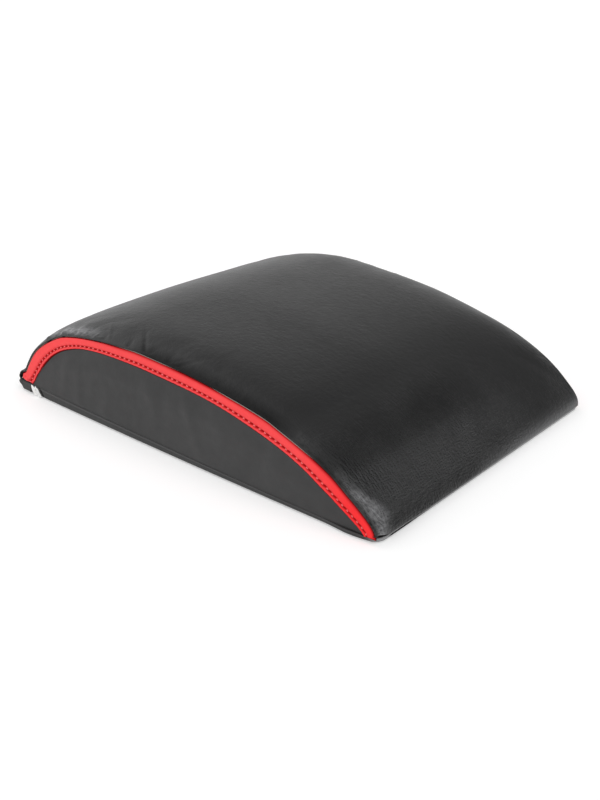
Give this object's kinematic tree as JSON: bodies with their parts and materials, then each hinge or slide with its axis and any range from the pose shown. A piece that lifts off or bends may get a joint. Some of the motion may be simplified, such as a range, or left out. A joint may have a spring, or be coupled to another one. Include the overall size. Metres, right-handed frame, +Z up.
{
  "type": "ab mat",
  "caption": "Arched foam wedge for sit-ups in a sewn vinyl cover with a contrast band along each side arch and a zip across the steep end.",
  "frame": {"origin": "under the middle of the base, at the bottom centre of the bounding box; Z 0 is the floor", "axes": "+X points to the low front end, the zip is across the steep end at -X; Y runs across the mat; +Z up"},
  "size_m": [0.3744, 0.3, 0.0847],
  "materials": {
    "foam": "open-celled foam, matte",
    "top_vinyl": "black coated fabric, fine leather grain, semi-gloss",
    "side_vinyl": "charcoal coated fabric, satin",
    "base_vinyl": "black coated fabric, matte underside",
    "red_trim": "red coated fabric, satin, topstitched",
    "zipper_tape": "black woven tape",
    "zipper_nylon": "black nylon",
    "zipper_metal": "black lacquered zinc",
    "label_satin": "white satin ribbon, blank"
  },
  "bodies": {
    "mat": {"foam_core": "foam", "top_cover": "top_vinyl", "base_panel": "base_vinyl", "side_panel_left": "side_vinyl", "side_panel_right": "side_vinyl", "trim_band_left": "red_trim", "trim_band_right": "red_trim", "zipper_tape_upper": "zipper_tape", "zipper_tape_lower": "zipper_tape", "zipper_coil_upper": "zipper_nylon", "zipper_coil_lower": "zipper_nylon", "zipper_top_stop_upper": "zipper_metal", "zipper_top_stop_lower": "zipper_metal", "zipper_bottom_stop": "zipper_metal", "care_label": "label_satin"},
    "slider": {"zipper_slider": "zipper_metal"},
    "pull": {"zipper_pull": "zipper_metal"}
  },
  "joints": [
    {"name": "zip_slide", "type": "slide", "parent": "mat", "child": "slider", "axis": [0, 1, 0], "range_m": [0, 0.2624]},
    {"name": "pull_hinge", "type": "hinge", "parent": "slider", "child": "pull", "pos_m": [-0.1853, -0.1312, 0.01484], "axis": [0.2881, 0, 0.9576], "range_deg": [0, 175]}
  ]
}
